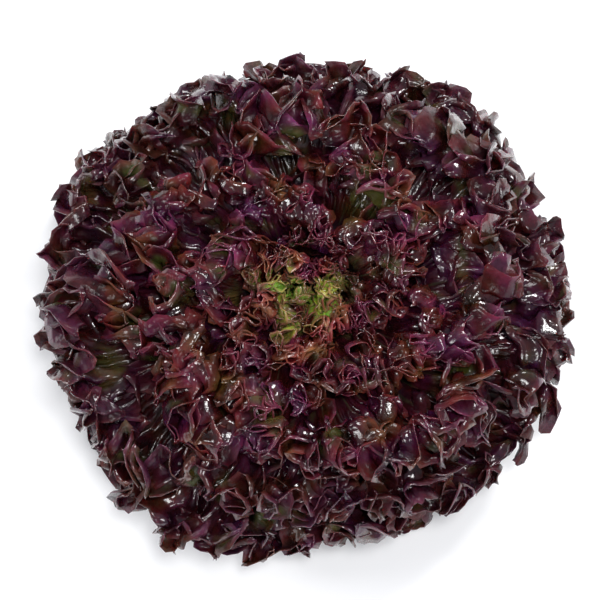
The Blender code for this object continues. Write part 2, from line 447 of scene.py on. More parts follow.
class NodeSheet:
    """Adds nodes to a tree, so that a formula reads as one."""

    def __init__(self, tree: Tree) -> None:
        """Starts on a tree."""
        self.tree = tree
        self.placed = 0

    def add(self, kind: str, **settings: object) -> bpy.types.Node:
        """A new node.

        Args:
            kind: its type's name.
            settings: properties to set on it.

        Returns:
            The node.
        """
        node = self.tree.nodes.new(kind)
        for name, value in settings.items():
            setattr(node, name, value)
        across, down = divmod(self.placed, NODES_IN_A_COLUMN)
        node.location = (NODE_SPACING * across, -NODE_SPACING * down)
        self.placed += 1
        return node

    def feed(self, socket: Socket, value: object) -> None:
        """Links a socket to another, or sets it to a plain value.

        Args:
            socket: the input.
            value: the term or the plain value that it gets.
        """
        if isinstance(value, Term):
            self.tree.links.new(value.socket, socket)
        else:
            socket.default_value = value

    def put(self, kind: str, values: dict[Place, object], **settings: object) -> Results:
        """A new node with its inputs fed.

        Args:
            kind: its type's name.
            values: what each input gets, by the input's name or place.
            settings: properties to set on it.

        Returns:
            Its outputs.
        """
        node = self.add(kind, **settings)
        for name, value in values.items():
            self.feed(node.inputs[name], value)
        return Results(self, node.outputs)

    def calc(self, operation: str, *values: Value) -> Term:
        """The result of one Math node on these values."""
        return self.put("ShaderNodeMath", dict(enumerate(values)), operation=operation)[0]

    def vector(self, operation: str, *values: object) -> Term:
        """The result of one Vector Math node.

        Args:
            operation: its name.
            values: its vectors, or a vector and a scale.

        Returns:
            The vector, or its length.
        """
        places = (0, "Scale") if operation == "SCALE" else (0, 1)
        outputs = self.put("ShaderNodeVectorMath", dict(zip(places, values)), operation=operation)
        return outputs["Value" if operation == "LENGTH" else "Vector"]

    def noise(self, place: object, scale: Value, detail: float = 1.0) -> Term:
        """A random field from about 0 to 1, with this many bends to a metre."""
        return self.put("ShaderNodeTexNoise", {"Vector": place, "Scale": scale, "Detail": detail})["Fac"]

    def speckle(self, place: object, scale: float, swing: float, rest: Value, detail: float = 1.0) -> Term:
        """A random field from about a rest value up to the swing above it."""
        return self.noise(place, scale, detail).scaled(swing, rest)

    def step(self, value: Value, start: Value, end: Value) -> Term:
        """A smooth step from 0 at start to 1 at end."""
        values = {"Value": value, "From Min": start, "From Max": end}
        return self.put("ShaderNodeMapRange", values, interpolation_type="SMOOTHSTEP")[0]

    def blend(self, share: Value, first: object, second: object) -> Term:
        """The colour that lies this share of the way from the first to the second."""
        return self.put("ShaderNodeMix", {0: share, 6: first, 7: second}, data_type="RGBA")[2]


class GroupSheet(NodeSheet):
    """A sheet of a node group with named inputs and outputs."""

    def __init__(self, kind: str, name: str, inputs: dict[str, str], outputs: dict[str, str]) -> None:
        """Makes the group.

        Args:
            kind: ShaderNodeTree or GeometryNodeTree.
            name: the group's name.
            inputs: each input's name and its kind, such as Float or Color.
            outputs: the same for the outputs.
        """
        super().__init__(bpy.data.node_groups.new(name, kind))
        for way, sockets in (("INPUT", inputs), ("OUTPUT", outputs)):
            for socket, holds in sockets.items():
                self.tree.interface.new_socket(socket, in_out=way, socket_type=f"NodeSocket{holds}")
        self.given = self.put("NodeGroupInput", {})
        self.result = self.add("NodeGroupOutput").inputs


class MaterialSheet(NodeSheet):
    """A sheet of a new material with a Principled BSDF."""

    def __init__(self, name: str, **settings: object) -> None:
        """Makes the material.

        Args:
            name: its name.
            settings: what its shader has all over, by the input's name with _ for each space.
        """
        self.material = bpy.data.materials.new(name)
        self.material.use_nodes = True
        super().__init__(self.material.node_tree)
        self.shader = next(n for n in self.tree.nodes if n.type == "BSDF_PRINCIPLED").inputs
        for key, value in settings.items():
            self.shader[key.replace("_", " ")].default_value = value

    def place(self) -> Term:
        """The place on the piece."""
        return self.put("ShaderNodeTexCoord", {})["Object"]

    def attribute(self, name: str) -> Term:
        """The piece's own attribute of this name."""
        return self.put("ShaderNodeAttribute", {}, attribute_name=name)["Fac"]

    def wrinkle(self, skin: Tree, place: Term, blisters: float, wrinkles: float, depth: float) -> Term:
        """Bumps the surface with blisters and wrinkles.

        Args:
            skin: the group of wrinkles.
            place: the place on the piece.
            blisters: how many blisters there are to a metre.
            wrinkles: how many wrinkles there are to a metre.
            depth: how deep they are.

        Returns:
            The bumped normal.
        """
        values = {"Coordinates": place, "Blisters": blisters, "Wrinkles": wrinkles}
        height = self.put("ShaderNodeGroup", values, node_tree=skin)["Height"]
        normal = self.put("ShaderNodeBump", {"Distance": depth, "Height": height})["Normal"]
        self.feed(self.shader["Normal"], normal)
        return normal


def put_in_scene(name: str, data: bpy.types.ID) -> Piece:
    """Puts a new object in the scene.

    Args:
        name: its name.
        data: its mesh, its light or its camera.

    Returns:
        The object.
    """
    made = bpy.data.objects.new(name, data)
    bpy.context.scene.collection.objects.link(made)
    return made


def start_piece(name: str, points: Array, edges: list, faces: list, attributes: dict[str, Array]) -> Piece:
    """Starts a piece.

    Args:
        name: its name.
        points: its points.
        edges: its loose edges, as pairs of points.
        faces: its faces, as rows of points.
        attributes: each attribute's value, or its vector, for each point.

    Returns:
        The piece.
    """
    mesh = bpy.data.meshes.new(name)
    mesh.from_pydata(points.tolist(), edges, faces)
    for key, values in attributes.items():
        whole = values.dtype.kind == "i"
        kind = "FLOAT_VECTOR" if values.ndim == 2 else "INT" if whole else "FLOAT"
        data = mesh.attributes.new(key, kind, "POINT").data
        flat = np.ascontiguousarray(values, np.int32 if whole else np.float32).reshape(-1)
        data.foreach_set("vector" if values.ndim == 2 else "value", flat)
    return put_in_scene(name, mesh)


def make_plain(piece: Piece) -> None:
    """Keeps what a piece's modifiers make of it as its plain mesh, and removes them.

    Args:
        piece: the piece.
    """
    graph = bpy.context.evaluated_depsgraph_get()
    made = bpy.data.meshes.new_from_object(piece.evaluated_get(graph))
    piece.modifiers.clear()
    bare = piece.data
    piece.data = made
    bpy.data.meshes.remove(bare)
    made.name = piece.name


def run_tree(piece: Piece, tree: Tree, values: dict[str, object]) -> None:
    """Runs a Geometry Nodes tree on a piece and keeps its result.

    Args:
        piece: the piece.
        tree: the tree.
        values: what each of its named inputs gets, set by the input's identifier.
    """
    modifier = piece.modifiers.new(tree.name, "NODES")
    modifier.node_group = tree
    for item in tree.interface.items_tree:
        if item.in_out == "INPUT" and item.name in values:
            modifier[item.identifier] = values[item.name]
    make_plain(piece)


def finish_piece(piece: Piece, spent: tuple[str, ...]) -> Piece:
    """Smooths a piece and drops the attributes that only its making needed.

    Args:
        piece: the piece.
        spent: the names of those attributes.

    Returns:
        The piece.
    """
    for name in spent:
        if name in piece.data.attributes:
            piece.data.attributes.remove(piece.data.attributes[name])
    piece.data.shade_smooth()
    return piece


@dataclass
class LeafTree(GroupSheet):
    """A Geometry Nodes tree for one kind of piece of a leaf, with a named input for each size."""

    name: str
    sizes: tuple[tuple[str, float], ...]
    floor_softness: float = 0.004
    top_softness: float = 0.012
    blisters_grow: tuple[float, float] = (0.3, 0.6)
    bulge_gain: float = 4.0

    def __post_init__(self) -> None:
        """Makes the tree, which ends in Realize Instances and Set Material."""
        usual = dict(self.sizes)
        inputs = {name: "Int" if isinstance(value, int) else "Float" for name, value in usual.items()}
        inputs = {"Geometry": "Geometry", **inputs, "Material": "Material"}
        super().__init__("GeometryNodeTree", self.name, inputs, {"Geometry": "Geometry"})
        for item in self.tree.interface.items_tree:
            if item.name in usual:
                item.default_value = usual[item.name]
        made = self.put("GeometryNodeRealizeInstances", {"Geometry": self.shape()})["Geometry"]
        dress = {"Geometry": made, "Material": self.given["Material"]}
        self.feed(self.result["Geometry"], self.put("GeometryNodeSetMaterial", dress)["Geometry"])

    def shape(self) -> Term:
        """The shape that the tree makes of what it is given."""
        raise NotImplementedError

    def named(self, name: str, kind: str = "FLOAT") -> Term:
        """The values of one of the piece's attributes."""
        return self.put("GeometryNodeInputNamedAttribute", {"Name": name}, data_type=kind)["Attribute"]

    def here(self) -> Term:
        """Where each point is."""
        return self.put("GeometryNodeInputPosition", {})["Position"]

    def moved(self, position: Term) -> Term:
        """The given shape with its points moved there."""
        values = {"Geometry": self.given["Geometry"], "Position": position}
        return self.put("GeometryNodeSetPosition", values)["Geometry"]

    def bulge(self, height: Term, size: Term) -> Term:
        """A random rise and fall of this height, with bends of this size."""
        bends = self.noise(self.here(), self.calc("DIVIDE", 1.0, size), 0.0)
        return (bends - 0.5) * self.bulge_gain * height

    def blister(self, v: Term) -> Term:
        """How far the blade bulges between its small veins, this far out."""
        bulge = self.bulge(self.given["Blister height"], self.given["Blister size"])
        return bulge * self.step(v, *self.blisters_grow)

    def eased(self, room: Term, softness: float) -> Term:
        """Keeps the room above zero.

        Args:
            room: the room that is left to a limit.
            softness: the length over which it eases off.

        Returns:
            The eased room.
        """
        over = room - softness
        near = self.calc("EXPONENT", self.calc("MINIMUM", over / softness, 0.0))
        return self.calc("MAXIMUM", over, 0.0) + near * softness

    def settled(self, position: Term) -> Term:
        """Eases the points off near the floor and near the top of the head, so that none goes past them.

        Args:
            position: where each point would go.

        Returns:
            Where it goes.
        """
        lowest, highest = self.given["Lowest"], self.given["Highest"]
        split = self.put("ShaderNodeSeparateXYZ", {"Vector": position})
        low = self.eased(split["Z"] - lowest, self.floor_softness) + lowest
        high = highest - self.eased(highest - low, self.top_softness)
        return self.put("ShaderNodeCombineXYZ", {"X": split["X"], "Y": split["Y"], "Z": high})["Vector"]


class Drift(Enum):
    """The slow random fields of the frills: how many bends a fold or frill has, and its own place."""

    FOLD_PLACE = (0.4, 0.0)
    FRILL_PLACE = (0.4, 41.0)
    FOLD_SIZE = (0.5, 31.0)
    CURL = (0.3, 57.0)
    TEETH = (1.7, 83.0)


@dataclass
class FrillTree(LeafTree):
    """Geometry Nodes that fold and frill a blade.

    Along each row the blade turns to one side and the other, further the nearer the row is to the margin:
    first in wide folds, then in small frills upon them. The running sums of the turned steps give the
    meander, so the margin grows longer than the blade that carries it. The crest of each fold curls a
    little to its side, and the margin of a low leaf lifts.
    """

    name: str = "frilled margin"
    sizes: tuple[tuple[str, float], ...] = (
        ("Folds per wave", 2.3),
        ("Fold swing", 1.6),
        ("Fold start", 0.70),
        ("Frills per fold", 2.6),
        ("Frill swing", 1.0),
        ("Frill start", 0.85),
        ("Unevenness", 0.32),
        ("Wander", 9.0),
        ("Scallop depth", 0.0014),
        ("Tooth depth", 0.0025),
        ("Wave curl", 0.2),
        ("Fold curl", 0.5),
        ("Curl start", 0.80),
        ("Lift", 0.2),
        ("Blister height", 0.0022),
        ("Blister size", 0.012),
        ("Crinkle height", 0.0006),
        ("Crinkle size", 0.0050),
        ("Lowest", 0.0005),
        ("Highest", 0.134),
        ("Seed", 0.0),
    )
    crinkles_grow: tuple[float, float] = (0.6, 0.8)
    swing_spread: float = 0.5
    curl_spread: float = 1.2
    least_curl: float = 0.0001
    scallop_mean: float = 0.64
    teeth_start: float = 0.955
    tooth_rest: float = 0.6
    tooth_gain: float = -4.0
    seed_spacing: float = 97.3

    def shape(self) -> Term:
        """Folds and frills the blade that it is given.

        Returns:
            The frilled blade.
        """
        v = self.named("out")
        along_row = self.named("along_row", "FLOAT_VECTOR")
        folds = self.given["Folds per wave"] * self.named("turns")
        fold_place = self.uneven(Drift.FOLD_PLACE, folds, v)
        frills = fold_place * self.given["Frills per fold"]
        fold_phase = fold_place * math.tau
        frill_phase = self.uneven(Drift.FRILL_PLACE, frills, v) * math.tau
        curled, face, outward = self.curl(v, folds, fold_phase)
        slide, raised = self.meander(v, folds, fold_phase, frill_phase)
        raised = raised * self.vector("LENGTH", along_row) + self.blister(v)
        crinkle = self.bulge(self.given["Crinkle height"], self.given["Crinkle size"])
        raised = crinkle.scaled(self.step(v, *self.crinkles_grow), raised)
        offset = self.vector("ADD", curled, self.vector("SCALE", along_row, slide))
        offset = self.vector("ADD", offset, self.vector("SCALE", face, raised))
        edge = self.edge(v, frills, frill_phase)
        offset = self.vector("ADD", offset, self.vector("SCALE", outward, edge))
        return self.moved(self.settled(self.vector("ADD", self.here(), offset)))

    def drift(self, which: Drift, place: Term, v: Value) -> Term:
        """A slow random field over the blade, from about -0.5 to 0.5.

        Args:
            which: the field.
            place: how many folds or frills round each point lies.
            v: how far out it lies.

        Returns:
            The field.
        """
        bends, apart = which.value
        x = place.scaled(bends, self.given["Seed"].scaled(self.seed_spacing, apart))
        y = self.given["Wander"] * v
        at = self.put("ShaderNodeCombineXYZ", {"X": x, "Y": y})["Vector"]
        values = {"Vector": at, "Scale": 1.0, "Detail": 1.0}
        return self.put("ShaderNodeTexNoise", values, noise_dimensions="2D")["Fac"] - 0.5

    def uneven(self, which: Drift, place: Term, v: Value) -> Term:
        """The place round the margin, shifted by a slow random field."""
        return self.drift(which, place, v).scaled(self.given["Unevenness"], place)

    def curl(self, v: Term, folds: Term, fold_phase: Term) -> tuple[Term, Term, Term]:
        """Bends the last part of the blade in an arc, towards the side that its wave and its fold go to.

        Args:
            v: how far out each point lies.
            folds: how many folds round it lies.
            fold_phase: where it lies in its fold, as an angle.

        Returns:
            The offset, and the directions that the blade then faces and runs out in.
        """
        face = self.named("face", "FLOAT_VECTOR")
        outward = self.named("outward", "FLOAT_VECTOR")
        past = self.calc("MAXIMUM", v - self.given["Curl start"], 0.0)
        uneven = self.drift(Drift.CURL, folds, 0.0).scaled(self.curl_spread, 1.0)
        crest = self.calc("COSINE", fold_phase) * self.given["Fold curl"]
        turned = self.given["Wave curl"] * self.named("wave") - crest
        turned = turned.scaled(uneven, self.given["Lift"])
        angle = turned * (past / (1.0 - self.given["Curl start"])) + self.least_curl
        cosine, sine = self.calc("COSINE", angle), self.calc("SINE", angle)
        arc = past * self.named("length")
        out = arc * (sine / angle - 1.0)
        up = arc * ((1.0 - cosine) / angle)
        offset = self.combined("ADD", outward, out, face, up)
        new_face = self.combined("SUBTRACT", face, cosine, outward, sine)
        return offset, new_face, self.combined("ADD", outward, cosine, face, sine)

    def combined(self, operation: str, first: Term, share: Value, second: Term, rest: Value) -> Term:
        """Two directions, each times its own length, added or subtracted."""
        return self.vector(operation, self.vector("SCALE", first, share), self.vector("SCALE", second, rest))

    def meander(self, v: Term, folds: Term, fold_phase: Term, frill_phase: Term) -> tuple[Term, Term]:
        """Runs each row from side to side.

        Args:
            v: how far out each point lies.
            folds: how many folds round it lies.
            fold_phase: where it lies in its fold, as an angle.
            frill_phase: where it lies in its frill, as an angle.

        Returns:
            How far each point slides along its row, and how far it rises, as shares of the row.
        """
        row, waves = self.named("row", "INT"), self.named("waves")
        size = self.drift(Drift.FOLD_SIZE, folds, v).scaled(self.swing_spread, 1.0)
        folded = self.given["Fold swing"] * self.grown(v, self.given["Fold start"]) * size
        frilled = self.given["Frill swing"] * self.grown(v, self.given["Frill start"])
        turned = folded * self.calc("SINE", fold_phase) + frilled * self.calc("SINE", frill_phase)
        steps, all_steps = self.running(1.0, row)
        ahead, all_ahead = self.running(self.calc("COSINE", turned), row)
        aside, all_aside = self.running(self.calc("SINE", turned), row)
        share = steps / all_steps
        return (ahead / all_ahead - share) * waves, (aside - share * all_aside) / all_ahead * waves

    def grown(self, v: Term, start: Term) -> Term:
        """How far folds that start here have grown, from 0 to 1 at the margin."""
        share = self.calc("MAXIMUM", v - start, 0.0) / (1.0 - start)
        return self.calc("SINE", share * (math.pi / 2))

    def edge(self, v: Term, frills: Term, frill_phase: Term) -> Term:
        """How far the scallops and the uneven teeth stand out from the margin.

        Args:
            v: how far out each point lies.
            frills: how many frills round it lies.
            frill_phase: where it lies in its frill, as an angle.

        Returns:
            The distance.
        """
        scallops = self.calc("ABSOLUTE", self.calc("COSINE", frill_phase)) - self.scallop_mean
        scallops = scallops * self.given["Scallop depth"] * self.step(v, self.given["Frill start"], 1.0)
        teeth = self.calc("ABSOLUTE", self.drift(Drift.TEETH, frills, 0.0))
        teeth = teeth.scaled(self.tooth_gain, self.tooth_rest) * self.given["Tooth depth"]
        return scallops + teeth * self.step(v, self.teeth_start, 1.0)

    def running(self, value: Value, row: Value) -> tuple[Term, Term]:
        """The sum of a value over the points before each one in its row, and over the whole row."""
        outputs = self.put("GeometryNodeAccumulateField", {"Value": value, "Group Index": row})
        return outputs["Trailing"], outputs["Total"]


@dataclass
class RibTree(LeafTree):
    """Geometry Nodes that turn lines on a blade into tapered ribs, half sunk in its underside."""

    name: str = "leaf ribs"
    sizes: tuple[tuple[str, float], ...] = (
        ("Blister height", 0.0022),
        ("Blister size", 0.012),
        ("Standing", 0.6),
        ("Lowest", 0.0022),
        ("Highest", 0.134),
        ("Sides", 6),
    )

    def shape(self) -> Term:
        """Sweeps the ribs. Each follows the blade's blisters, on its underside.

        Returns:
            The ribs.
        """
        girth = self.named("girth")
        below = girth.scaled(self.given["Standing"], self.named("depth"))
        raised = self.blister(self.named("out")) - below
        raised = self.vector("SCALE", self.named("face", "FLOAT_VECTOR"), raised)
        moved = self.moved(self.settled(self.vector("ADD", self.here(), raised)))
        line = self.put("GeometryNodeMeshToCurve", {"Mesh": moved})["Curve"]
        circle = {"Radius": 1.0, "Resolution": self.given["Sides"]}
        ring = self.put("GeometryNodeCurvePrimitiveCircle", circle)["Curve"]
        swept = {"Curve": line, "Profile Curve": ring, "Scale": girth, "Fill Caps": True}
        return self.put("GeometryNodeCurveToMesh", swept)["Mesh"]


@dataclass
class Ribs:
    """The midrib of one leaf and the side ribs that fan out beside it.

    Each rib has its place beside the midrib as a share of the margin, its end on the way from the root to
    the margin, and its girth at the root. None goes past the farthest end, where the folds begin.
    """

    leaf: Leaf
    sweep: RibTree
    material: Material
    places: tuple[float, ...] = (0.0, 0.07, 0.14, 0.22, 0.31)
    ends: tuple[float, ...] = (0.66, 0.60, 0.58, 0.54, 0.48)
    girths: tuple[float, ...] = (0.0017, 0.0010, 0.0009, 0.0008, 0.0007)
    farthest: tuple[float, float] = (0.69, 0.54)
    start: float = 0.13
    tip_girth: float = 0.00035
    steps: int = 9
    taper_power: float = 1.5

    def build(self) -> Piece:
        """Makes the ribs.

        Returns:
            The piece, with a plain mesh.
        """
        leaf = self.leaf
        farthest = float(mix(*self.farthest, leaf.inward))
        turns, v, girth, edges = [], [], [], []
        for place, end, most in zip(self.places, self.ends, self.girths):
            for side in ((0,) if place == 0 else (-1, 1)):
                first = len(turns) * (self.steps + 1)
                turns.append(np.full(self.steps + 1, leaf.waves * (0.5 + side * place)))
                v.append(np.linspace(self.start, min(end, farthest), self.steps + 1))
                girth.append(np.linspace(most, self.tip_girth, self.steps + 1))
                edges += [(first + k, first + k + 1) for k in range(self.steps)]
        turns, v, girth = (np.concatenate(values) for values in (turns, v, girth))
        depth = leaf.thickness / 2 * (1 - v) ** self.taper_power
        face = unit(np.cross(*leaf.slopes(turns, v)))
        attributes = {"out": v, "girth": girth, "depth": depth, "face": face}
        piece = start_piece(f"{leaf.node}_ribs", leaf.points(turns, v), edges, [], attributes)
        run_tree(piece, self.sweep.tree, {"Material": self.material})
        return finish_piece(piece, ("girth", "depth", "face"))


@dataclass
class Stem:
    """The short cut stem under the leaves, turned on one profile and dented by the scars of old leaves.

    Each scar wave is how deep it goes, how many go round and where the first begins.
    """

    crown: Crown
    material: Material
    radius: float = 0.0150
    bevel: float = 0.0012
    hollow: float = 0.0014
    crown_points: int = 14
    lowest_tilt: float = math.radians(118)
    neck_points: int = 4
    cut_shares: tuple[float, ...] = (0.86, 0.74, 0.60, 0.45, 0.30, 0.15, 0.0)
    hollow_start: float = 0.6
    steps: int = 96
    scars: tuple[tuple[float, int, float], ...] = ((0.0005, 5, 0.4), (0.0003, 8, 2.0), (0.0002, 13, 1.1))
    scar_depth: float = 0.0008
    scarred: tuple[float, float] = (0.020, 0.006)

    def profile(self) -> list[tuple[float, float]]:
        """Draws the profile that the stem is turned on.

        Returns:
            Its points from the top to the middle of the cut, each a radius and a height.
        """
        points = []
        for tilt in np.linspace(0, self.lowest_tilt, self.crown_points):
            distance = float(self.crown.radius(tilt))
            points.append((distance * math.sin(tilt), self.crown.height + distance * math.cos(tilt)))
        lowest = points[-1]
        for k in range(1, self.neck_points + 1):
            share = k / self.neck_points
            points.append((mix(lowest[0], self.radius, share), mix(lowest[1], self.bevel * 2, share)))
        flat = self.radius - self.bevel
        points += [(self.radius - self.bevel * 0.3, self.bevel * 0.5), (flat, 0.0)]
        for share in self.cut_shares:
            sunk = self.hollow * (1 - share * share) * ease(share, 1.0, self.hollow_start)
            points.append((flat * share, sunk))
        return points

    def ring(self, made: bmesh.types.BMesh, radius: float, height: float) -> list[bmesh.types.BMVert]:
        """Adds one ring of the stem.

        Args:
            made: the mesh that it goes in.
            radius: its radius before it is dented.
            height: its height.

        Returns:
            Its corners, or the single one where the radius is zero.
        """
        if radius == 0:
            return [made.verts.new((0, 0, height))]
        scarred = float(ease(height, *self.scarred)) * min(1.0, radius / self.radius)
        corners = []
        for step in range(self.steps):
            angle = math.tau * step / self.steps
            dent = sum(size * math.sin(count * angle + start) for size, count, start in self.scars)
            around = radius - scarred * (self.scar_depth - dent)
            corners.append(made.verts.new((around * math.cos(angle), around * math.sin(angle), height)))
        return corners

    def build(self) -> Piece:
        """Makes the stem.

        Returns:
            The piece, a closed mesh.
        """
        made = bmesh.new()
        rings = [self.ring(made, radius, height) for radius, height in self.profile()]
        for above, below in zip(rings, rings[1:]):
            for k in range(self.steps):
                corners = [above[k % len(above)], above[(k + 1) % len(above)]]
                corners += [below[(k + 1) % len(below)], below[k % len(below)]]
                made.faces.new(list(dict.fromkeys(corners)))
        bmesh.ops.recalc_face_normals(made, faces=made.faces)
        mesh = bpy.data.meshes.new("cut_stem")
        made.to_mesh(mesh)
        made.free()
        mesh.materials.append(self.material)
        return finish_piece(put_in_scene(mesh.name, mesh), ())


@dataclass
class Blade:
    """One leaf's blade: a graded fan of rows, frilled by Geometry Nodes and given its thickness.

    Each row is how far out it lies and its steps for each wave of the margin, as a share of the most.
    A pair of sizes is for the outermost leaf and for the bud.
    """

    leaf: Leaf
    frills: FrillTree
    face: Material
    underside: Material
    most_steps: tuple[float, float] = (44.0, 40.0)
    rows: tuple[tuple[float, float], ...] = (
        (0.0, 0.02), (0.15, 0.02), (0.30, 0.04), (0.42, 0.06), (0.52, 0.10), (0.60, 0.16), (0.66, 0.25),
        (0.71, 0.33), (0.75, 0.42), (0.79, 0.50), (0.825, 0.60), (0.855, 0.72), (0.882, 0.85), (0.907, 1.0),
        (0.930, 1.0), (0.950, 1.0), (0.968, 1.0), (0.985, 1.0), (1.0, 1.0),
    )
    margin_thickness: float = 0.00045
    taper_power: float = 1.5
    sizes: tuple[tuple[str, float, float], ...] = (
        ("Folds per wave", 2.7, 3.1),
        ("Fold swing", 1.6, 1.6),
        ("Fold start", 0.71, 0.56),
        ("Frill swing", 1.25, 1.45),
        ("Frill start", 0.78, 0.64),
        ("Curl start", 0.82, 0.78),
    )
    lift: float = 1.1
    lifted: tuple[float, float] = (math.radians(5), math.radians(60))

    def row_steps(self) -> list[int]:
        """How many steps each row has."""
        most = mix(*self.most_steps, self.leaf.inward)
        return [max(2, round(self.leaf.waves * share * most)) for _, share in self.rows]

    def fan(self) -> tuple[Array, Array, Array]:
        """Spaces the fan's points.

        Returns:
            How many waves round, how far out and in which row each point lies.
        """
        turns, v, row = [], [], []
        for number, ((out, _), steps) in enumerate(zip(self.rows, self.row_steps())):
            turns.append(np.linspace(0, self.leaf.waves, steps + 1))
            v.append(np.full(steps + 1, out))
            row.append(np.full(steps + 1, number))
        return np.concatenate(turns), np.concatenate(v), np.concatenate(row)

    def faces(self) -> list[tuple[int, int, int]]:
        """Fills the space between neighbouring rows, stepping along whichever row lags behind the other.

        Returns:
            The triangles.
        """
        faces = []
        first = 0
        steps = self.row_steps()
        for inner, outer in zip(steps, steps[1:]):
            second = first + inner + 1
            i, j = 0, 0
            while i < inner or j < outer:
                if j < outer and (i == inner or (j + 1) * inner <= (i + 1) * outer):
                    faces.append((first + i, second + j, second + j + 1))
                    j += 1
                else:
                    faces.append((first + i, second + j, first + i + 1))
                    i += 1
            first = second
        return faces

    def build(self) -> Piece:
        """Makes the frilled blade.

        Returns:
            The piece, with a plain mesh.
        """
        leaf = self.leaf
        turns, v, row = self.fan()
        outward, along_row = leaf.slopes(turns, v)
        attributes = {
            "turns": turns, "out": v, "row": row, "waves": np.full(len(v), float(leaf.waves)),
            "wave": leaf.wave(turns), "length": np.linalg.norm(outward, axis=-1), "along_row": along_row,
            "outward": unit(outward), "face": unit(np.cross(outward, along_row)),
        }
        piece = start_piece(f"{leaf.node}_blade", leaf.points(turns, v), [], self.faces(), attributes)
        values = {name: float(mix(outermost, bud, leaf.inward)) for name, outermost, bud in self.sizes}
        values["Lift"] = self.lift * float(ease(leaf.tilt, *self.lifted))
        values["Seed"] = float(leaf.number)
        values["Material"] = self.face
        run_tree(piece, self.frills.tree, values)
        self.thicken(piece, v)
        return finish_piece(piece, ("row", "waves", "wave", "length", "along_row", "outward", "face"))

    def thicken(self, piece: Piece, v: Array) -> None:
        """Gives the blade its thickness, from the root's to the margin's.

        Args:
            piece: the frilled blade.
            v: how far out each of its points lies.
        """
        piece.data.materials.clear()
        for material in (self.face, self.underside):
            piece.data.materials.append(material)
        group = piece.vertex_groups.new(name="taper")
        for out, _ in self.rows:
            group.add(np.flatnonzero(v == out).tolist(), (1 - out) ** self.taper_power, "REPLACE")
        solidify = piece.modifiers.new("blade thickness", "SOLIDIFY")
        solidify.thickness = self.leaf.thickness
        solidify.offset = 0
        solidify.vertex_group = group.name
        solidify.thickness_vertex_group = self.margin_thickness / self.leaf.thickness
        solidify.material_offset = 1
        solidify.material_offset_rim = 0
        make_plain(piece)
        piece.vertex_groups.clear()


@dataclass(frozen=True)
class LeafColours:
    """The shader node group that colours a leaf from its root to its margin.

    Each field of speckles is its bends to a metre, its swing and the value that it rests on. The heart's
    leaves lie round a line a little off the head's middle, and show less red and more patches there. On the
    outer and inner leaves the blade colour past the root is painted shade: it darkens the blade where it lies
    deep in the head.
    """

    uneven: tuple[float, float, float] = (95.0, 0.22, -0.11)
    root_fades: tuple[float, float] = (0.14, 0.46)
    heart_middle: tuple[float, float, float] = (0.002, -0.018, 0.0)
    heart_ends: tuple[float, float] = (0.010, 0.024)
    reddening: float = 0.30
    margin_end: float = 1.02
    patch_bends: tuple[float, float] = (52.0, 1.5)
    patch_thinning: float = 0.12
    patch_width: float = 0.16
    patch_share: float = 0.80
    veins_per_wave: float = 3.0
    vein_width: tuple[float, float] = (0.80, 1.0)
    vein_fades: tuple[float, float] = (0.95, 0.35)
    vein_share: float = 0.45
    tip_start: float = 0.975
    tip_share: float = 0.75
    hues: tuple[float, float, float] = (60.0, 0.26, 0.403)
    broad_shades: tuple[float, float, float] = (75.0, 1.8, -0.55)
    fine_shades: tuple[float, float] = (330.0, 0.8)
    roughness: tuple[float, float, float] = (420.0, 0.34, 0.12)
    wet_from: tuple[float, float] = (0.66, 0.86)
    wet_share: float = 0.88
    least_wet: float = 0.10

    def build(self) -> Tree:
        """Makes the group.

        Returns:
            The group, which puts out the colour, the roughness and how wet the leaf looks.
        """
        colours = dict.fromkeys(("Base", "Blade", "Patch", "Margin", "Tip"), "Color")
        numbers = dict.fromkeys(("Out", "Turns", "Patch start", "Margin start"), "Float")
        sheet = GroupSheet(
            "ShaderNodeTree",
            "leaf colours",
            {"Coordinates": "Vector", **numbers, **colours},
            {"Color": "Color", "Roughness": "Float", "Wet": "Float"},
        )
        given, place = sheet.given, sheet.given["Coordinates"]
        out = given["Out"] + sheet.speckle(place, *self.uneven)
        # Past the root, the blade colour of the outer and inner leaves is painted shade, dark where the blade
        # lies deep in the head; the heart's blade is its own green.
        colour = sheet.blend(sheet.step(out, *self.root_fades), given["Base"], given["Blade"])
        beside = sheet.vector("MULTIPLY", place, (1.0, 1.0, 0.0))
        beside = sheet.vector("LENGTH", sheet.vector("SUBTRACT", beside, self.heart_middle))
        off_axis = sheet.step(beside, *self.heart_ends)
        reddened = sheet.step(off_axis.scaled(self.reddening, out), given["Margin start"], self.margin_end)
        colour = sheet.blend(reddened, colour, given["Margin"])
        start = off_axis.scaled(self.patch_thinning, given["Patch start"])
        patched = sheet.step(sheet.noise(place, *self.patch_bends), start, start + self.patch_width)
        colour = sheet.blend(patched * self.patch_share, colour, given["Patch"])
        vein = sheet.calc("PINGPONG", given["Turns"] * self.veins_per_wave, 1.0)
        vein = sheet.step(vein, *self.vein_width) * sheet.step(out, *self.vein_fades)
        colour = sheet.blend(vein * self.vein_share, colour, given["Base"])
        # The tip colour on the last of the margin is partly the leaves' own pink tips and partly a painted
        # highlight along the pale curled rims.
        tip_and_painted_highlight = sheet.step(given["Out"], self.tip_start, 1.0) * self.tip_share
        colour = sheet.blend(tip_and_painted_highlight, colour, given["Tip"])
        shade = sheet.speckle(place, *self.fine_shades, sheet.speckle(place, *self.broad_shades))
        shades = {"Hue": sheet.speckle(place, *self.hues), "Value": shade, "Color": colour}
        sheet.feed(sheet.result["Color"], sheet.put("ShaderNodeHueSaturation", shades)["Color"])
        sheet.feed(sheet.result["Roughness"], sheet.speckle(place, *self.roughness))
        wet = sheet.step(given["Out"], *self.wet_from).scaled(self.wet_share, self.least_wet)
        sheet.feed(sheet.result["Wet"], wet)
        return sheet.tree


